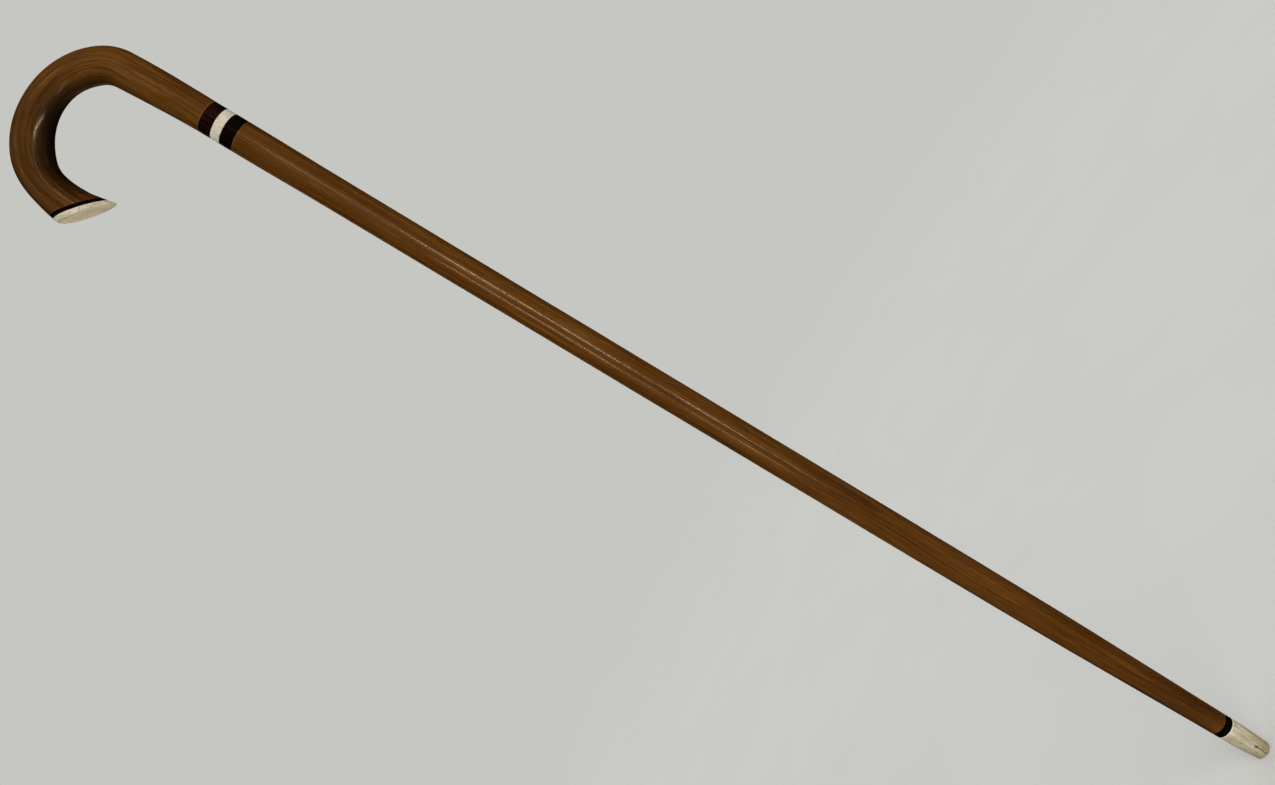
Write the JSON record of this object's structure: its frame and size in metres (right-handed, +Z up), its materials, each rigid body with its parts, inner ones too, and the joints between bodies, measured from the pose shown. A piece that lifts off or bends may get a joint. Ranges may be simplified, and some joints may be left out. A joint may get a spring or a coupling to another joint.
{
  "type": "single point cane",
  "caption": "Crook-handled wooden walking cane with a ringed collar, a bone-coloured nose cap and a tapered bone-coloured ferrule.",
  "frame": {"origin": "centre of the flat foot of the ferrule tip, where the cane meets the floor", "axes": "+Z up the shaft, the crook lies in the XZ plane and curls towards -X, Y is square to the crook"},
  "size_m": [0.1122, 0.0236, 0.88],
  "materials": {
    "shaft_wood": "satin",
    "handle_wood": "satin",
    "rosewood": "satin",
    "ebony": "satin",
    "bone": "satin",
    "dowel_wood": "matte"
  },
  "bodies": {
    "root": {"shaft": "shaft_wood", "crook_handle": "handle_wood", "collar_rosewood_ring": "rosewood", "collar_ebony_ring": "ebony", "collar_bone_ring": "bone", "collar_dowel": "dowel_wood", "nose_spacer": "ebony", "nose_cap": "bone", "nose_peg_outer": "dowel_wood", "nose_peg_inner": "dowel_wood", "ferrule_ring": "ebony", "ferrule_tip": "bone", "ferrule_peg": "dowel_wood"}
  },
  "joints": []
}
